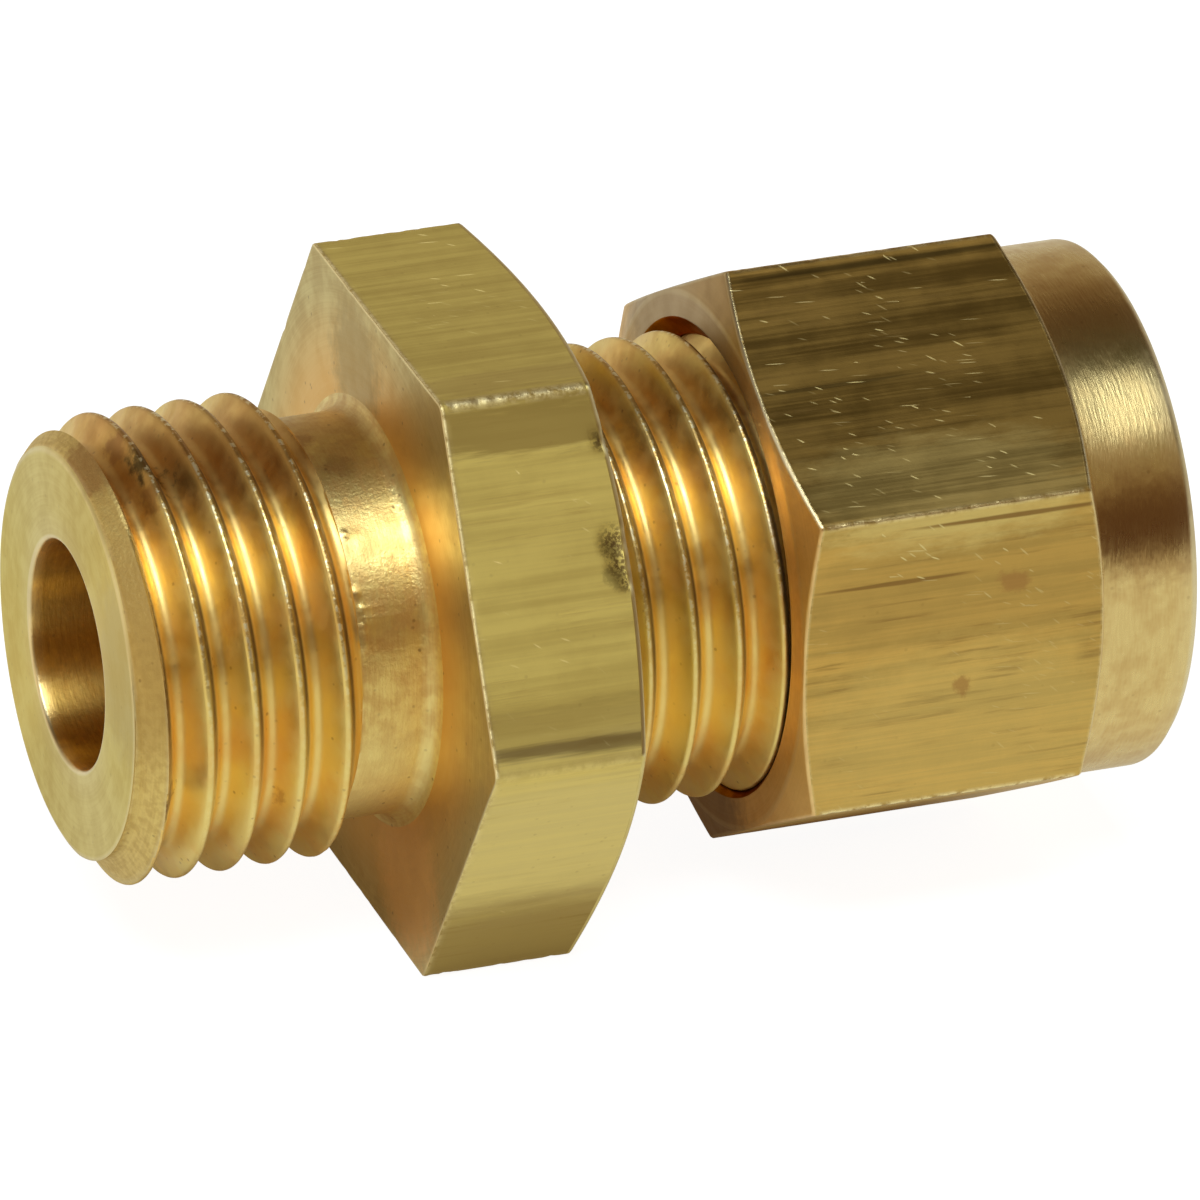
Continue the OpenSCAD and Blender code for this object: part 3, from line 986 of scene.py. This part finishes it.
def nut_outline(phi):
    """Out over the end face, along the hexagon and the collar, and back in through the tube's hole."""
    bar = bar_radius(phi, NUT_AF, NUT_TURN + 30, NUT_CORNER)
    worn = edge_wear(phi, NUT_TURN, NUT_TURN + 60)
    front = eased_edge(bar, NUT_X, NUT_FACE_R, NUT_FACE_SLOPE, -1, worn)
    back = eased_edge(bar, NUT_HEX_END_X, NUT_COLLAR_R + BEVEL, NUT_BACK_SLOPE, 1, worn)
    rubbed = corner_wear(phi, NUT_TURN + 30, 0.7)
    flats = front[1::-1] + along_bar(front[0][0], back[0][0], 56, bar, rubbed) + back[:1]
    collar_end = NUT_END_X - NUT_COLLAR_CHAMFER
    chamfer_r = NUT_COLLAR_R - NUT_COLLAR_CHAMFER
    edge_r = NUT_HOLE_R + NUT_HOLE_EDGE
    collar = back[1:6] + [
        (NUT_HEX_END_X + 0.01, NUT_COLLAR_R + 0.01, 0.0),
        (NUT_HEX_END_X + 0.06, NUT_COLLAR_R, 0.0),
        (NUT_HEX_END_X + 0.9, NUT_COLLAR_R, 0.0),
        (collar_end - 0.6, NUT_COLLAR_R, 0.0),
        (collar_end - 0.06, NUT_COLLAR_R, 0.2),
        (collar_end + 0.03, NUT_COLLAR_R - 0.02, 0.9),
        (NUT_END_X - 0.03, chamfer_r + 0.02, 0.9),
        (NUT_END_X, chamfer_r - 0.04, 0.5),
        (NUT_END_X, chamfer_r - 0.12, 0.0),
        (NUT_END_X, 6.0, 0.0),
        (NUT_END_X, edge_r + 0.08, 0.0),
        (NUT_END_X, edge_r + 0.02, 0.6),
        (NUT_END_X - 0.03, edge_r - 0.03, 0.6),
    ]
    bore = [
        (NUT_END_X - NUT_HOLE_EDGE, NUT_HOLE_R + 0.01, 0.2),
        (NUT_END_X - NUT_HOLE_EDGE - 0.06, NUT_HOLE_R, 0.0),
        (NUT_SEAT_END_X, NUT_HOLE_R, 0.0),
        (NUT_SHOULDER_X, NUT_SEAT_R, 0.1),
        (NUT_SHOULDER_X, NUT_THREAD_R, 0.0),
    ]
    mouth_x = NUT_X + 0.03
    return [
        (NUT_FACE, [(NUT_X, 7.2, 0.0)] + front[:1:-1], None),
        (FLATS, flats, None),
        (TURNED, collar, None),
        (BORE, bore, None),
        (THREAD, [(NUT_THREAD_END_X, NUT_THREAD_R, 0.0)], nut_screw),
        (THREAD, [(mouth_x, nut_thread_radius(mouth_x, phi), 0.0)], None),
        (NUT_FACE, [(NUT_X, mouth_radius(phi) + off, 0.0) for off in (0.02, 0.08)], None),
    ]


nut_corners = [NUT_TURN + 60 * k for k in range(6)]
nut_ends = (NUT_X + 0.3, NUT_HEX_END_X - 0.5)
nut_edges = [[on_corner(x, NUT_AF, p) for x in nut_ends] for p in nut_corners]
nut_nicks = along_edges(23, 90, nut_edges, DENT_REACH, DENT_DEPTH)
nut_angles = ring_angles(NUT_TURN + 30, NUT_AF, NUT_CORNER, 2)
nut = turn_piece("compression_nut_brass", nut_angles, nut_outline, nut_nicks)

nut_brown = (0.28, 0.15, 0.04, 1)
crease = (0.16, 0.11, 0.03, 1)
nut_flat_r = NUT_AF / 2
# Broad bands of shade on the flats that show, long creases from the drawing, and two specks
nut_spots = [
    (14.5, nut_flat_r, 28, 5.5, 0.5, 0.45, (0.20, 0.14, 0.035, 1)),
    (15.0, nut_flat_r * 1.04, 108, 4.2, 0.6, 0.32, (0.92, 0.70, 0.22, 1)),
    (15.5, nut_flat_r * 1.06, 72, 2.6, 0.3, 0.4, (0.50, 0.32, 0.085, 1)),
    (14.4, nut_flat_r * 1.1, 53, 2.2, 0.35, 0.6, (0.92, 0.74, 0.26, 1)),
    (16.3, nut_flat_r * 1.127, 60.6, 0.11, 0.03, 0.85, nut_brown),
    (12.8, nut_flat_r * 1.048, 70.5, 0.10, 0.035, 0.8, nut_brown),
    (12.3, nut_flat_r, 26.8, 0.10, 0.035, 0.7, crease),
    (15.0, nut_flat_r * 1.128, 0.4, 0.15, 0.025, 0.8, crease),
    (16.26, nut_flat_r * 1.045, 74.4, 0.5, 0.8, 0.6, rust),
    (14.82, nut_flat_r * 1.003, 95.9, 0.4, 1.2, 0.6, rust),
]
# Painted shade: a dimmer patch over the collar's highlight, and a reddish-brown one in the dark band below
# it
collar_spots = [
    (20.8, NUT_COLLAR_R, 36, 2.2, 0.7, 0.5, (0.52, 0.42, 0.17, 1)),
    (20.8, NUT_COLLAR_R, 68, 2.0, 0.7, 0.6, (0.46, 0.26, 0.09, 1)),
]
# A darker patch over the top of the face, and a painted reflection of the flange's dark side over its lower
# part
nut_face_spots = [
    (NUT_X, 7.4, -20, 7.5, 1.0, 0.95, (0.42, 0.28, 0.12, 1)),
    (NUT_X, 7.8, 178, 5.0, 1.0, 0.85, (0.22, 0.11, 0.035, 1)),
]
# The thread and countersink inside the nut are painted dark reddish brown, with a tinted sheen, as painted
# shade deep in its mouth
nut_thread = turned_brass(
    "brass_nut_thread", gold=(0.48, 0.23, 0.08, 1), dull=(0.34, 0.16, 0.05, 1), roughness=0.4,
    mark_microns=2.0,
)
nut_thread.node_tree.nodes["Principled BSDF"].inputs["Specular Tint"].default_value = (0.35, 0.17, 0.07, 1)
nut_finishes = [
    flats_brass(
        "brass_nut_flats", gold=(0.80, 0.51, 0.125, 1), khaki=(0.50, 0.32, 0.08, 1), brown=nut_brown,
        roughness=0.36, uneven=0.07, scratches=0.05, streak_microns=1.8, stains=0.6, spots=nut_spots,
    ),
    turned_brass(
        "brass_nut_turned", gold=(0.88, 0.68, 0.28, 1), dull=(0.76, 0.53, 0.20, 1), roughness=0.3,
        mark_microns=14.0, rings=12.0, grain=0.9, mottle_microns=0.6, waver=12.0, spots=collar_spots,
    ),
    nut_thread,
    turned_brass(
        "brass_nut_face", gold=(1.0, 0.64, 0.21, 1), dull=(0.86, 0.52, 0.16, 1), roughness=0.4,
        mark_microns=2.0, spots=nut_face_spots,
    ),
    turned_brass(
        "brass_nut_bore", gold=(0.6, 0.38, 0.12, 1), dull=(0.4, 0.24, 0.07, 1), roughness=0.3,
        mark_microns=2.0,
    ),
]
for finish in nut_finishes:
    nut.data.materials.append(finish)
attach(nut, "nut")
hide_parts("compression_nut")


# ---------------------------------------------------------------------------------------------------
# The studio: a pale floor under the coupling, a broad soft light overhead, a dim room round the
# camera, and a pale sweep of paper behind. Apart from the shade on the paper, its sizes are in metres.

FLOOR_Z = (body_low[2] - 0.02) * MM
FLOOR_HALF = 3.0
PAPER_WHITE = (0.93, 0.93, 0.93, 1)
# The shade under the coupling, in millimetres: its middle, and where it starts to fade and ends on each
# side of that, along X and along Y
SHADE_MIDDLE = (4.5, 4.0)
SHADE_X = (11.0, 16.0)
SHADE_Y = (6.0, 12.0)

floor_corners = [(-1, -1), (1, -1), (1, 1), (-1, 1)]
floor_mesh = bpy.data.meshes.new("floor")
floor_mesh.from_pydata(
    [(x * FLOOR_HALF, y * FLOOR_HALF, FLOOR_Z) for x, y in floor_corners],
    [],
    [(0, 1, 2, 3)],
)
floor = bpy.data.objects.new("floor", floor_mesh)
bpy.context.scene.collection.objects.link(floor)
paper = bpy.data.materials.new("pale_paper")
paper.use_nodes = True
tree = paper.node_tree
shader = tree.nodes["Principled BSDF"].inputs
direct = add(tree, "ShaderNodeLightPath").outputs["Is Camera Ray"]
tree.links.new(blended(tree, direct, (0.3, 0.295, 0.27, 1), (0.3, 0.3, 0.3, 1)), shader["Base Color"])
# The paper glows a little in reflections, as it would under more lamps, but not under the coupling, where a
# shadow is painted
spot = axes_of(tree, place_in_mm(tree))
behind = maths(tree, "ABSOLUTE", maths(tree, "SUBTRACT", spot[1], SHADE_MIDDLE[1]), 0.0)
beside = maths(tree, "ABSOLUTE", maths(tree, "SUBTRACT", spot[0], SHADE_MIDDLE[0]), 0.0)
clear_of_painted_shadow = maths(tree, "MAXIMUM", spread(tree, behind, *SHADE_Y), spread(tree, beside, *SHADE_X))
glow = blended(tree, clear_of_painted_shadow, (0.14, 0.1, 0.06, 1), (0.5, 0.5, 0.45, 1))
# Painted light: a warmer, brighter patch of paper far to the left, seen in reflections
glow = blended(tree, spread(tree, spot[0], -30.0, -60.0), glow, (0.85, 0.74, 0.52, 1))
tree.links.new(blended(tree, direct, glow, PAPER_WHITE), shader["Emission Color"])
shader["Emission Strength"].default_value = 1.0
shader["Roughness"].default_value = 0.9
shader["Specular IOR Level"].default_value = 0.0
floor.data.materials.append(paper)

softbox_lamp = bpy.data.lights.new("overhead_softbox", "AREA")
softbox_lamp.shape = "RECTANGLE"
softbox_lamp.size = 0.52
softbox_lamp.size_y = 0.34
softbox_lamp.energy = 3.7
softbox_lamp.color = (0.9, 1.0, 1.18)
softbox = bpy.data.objects.new("overhead_softbox", softbox_lamp)
bpy.context.scene.collection.objects.link(softbox)
softbox.location = (-0.19, -0.26, 0.62)
softbox.visible_camera = False

room = bpy.data.worlds.new("room")
bpy.context.scene.world = room
room.use_nodes = True
tree = room.node_tree
look = add(tree, "ShaderNodeTexCoord").outputs["Generated"]
axes = axes_of(tree, look)
toward = times(tree, axes[1], -1.0)
round_x = maths(tree, "ARCTAN2", toward, axes[2])
band = spread(tree, round_x, -math.pi, math.pi, 0, 1, False)
ramp = add(tree, "ShaderNodeValToRGB", {"Fac": band})
# The room round the tube's axis, from below, up behind, over the top and down on the camera's side:
# degrees and colour
views = [
    (-180, (0.50, 0.49, 0.44, 1)),
    (-90, (0.50, 0.46, 0.40, 1)),
    (-76, (0.42, 0.36, 0.29, 1)),
    (-60, (0.38, 0.32, 0.25, 1)),
    (-50, (0.22, 0.15, 0.09, 1)),
    (-30, (0.085, 0.05, 0.03, 1)),
    (-2, (0.085, 0.075, 0.05, 1)),
    (42, (0.30, 0.24, 0.16, 1)),
    (56, (0.26, 0.19, 0.12, 1)),
    (66, (0.13, 0.07, 0.04, 1)),
    (84, (0.12, 0.065, 0.04, 1)),
    (92, (0.55, 0.50, 0.40, 1)),
]
while len(ramp.color_ramp.elements) < len(views):
    ramp.color_ramp.elements.new(0.5)
for stop, (angle, colour) in zip(ramp.color_ramp.elements, views):
    stop.position = (angle + 180) / 360
    stop.color = colour
direct = add(tree, "ShaderNodeLightPath").outputs["Is Camera Ray"]
# A lit wall on the left, low down
far_left = spread(tree, axes[0], -0.72, -0.94)
wall = times(tree, far_left, spread(tree, axes[2], 0.55, 0.2))
walls = blended(tree, wall, ramp.outputs[0], (0.75, 0.62, 0.42, 1))
shade = blended(tree, direct, walls, (1, 1, 1, 1))
tree.links.new(shade, tree.nodes["Background"].inputs["Color"])
tree.nodes["Background"].inputs["Strength"].default_value = 1.0

# The camera: a long lens from the front left, a little above, as for a catalogue picture
CAMERA_PLACE = Vector((-0.128679, -0.342696, 0.195889))
CAMERA_TURN = math.radians(21.5935)
CAMERA_DIP = math.radians(28.0862)
CAMERA_ROLL = math.radians(2.0374)
FOCAL_PIXELS = 14867.7
FRAME_PIXELS = 1200
forward = Vector((
    math.sin(CAMERA_TURN) * math.cos(CAMERA_DIP),
    math.cos(CAMERA_TURN) * math.cos(CAMERA_DIP),
    -math.sin(CAMERA_DIP),
))
level = Vector((math.cos(CAMERA_TURN), -math.sin(CAMERA_TURN), 0))
right = level * math.cos(CAMERA_ROLL) + level.cross(forward) * math.sin(CAMERA_ROLL)
up = right.cross(forward)
camera_data = bpy.data.cameras.new("camera")
camera_data.sensor_width = 36
camera_data.lens = FOCAL_PIXELS * camera_data.sensor_width / FRAME_PIXELS
camera_data.clip_start = 0.01
camera_data.clip_end = 20
camera = bpy.data.objects.new("camera", camera_data)
bpy.context.scene.collection.objects.link(camera)
camera.matrix_world = Matrix.Translation(CAMERA_PLACE) @ Matrix((right, up, -forward)).transposed().to_4x4()
bpy.context.scene.camera = camera
bpy.context.scene.view_settings.view_transform = "Standard"
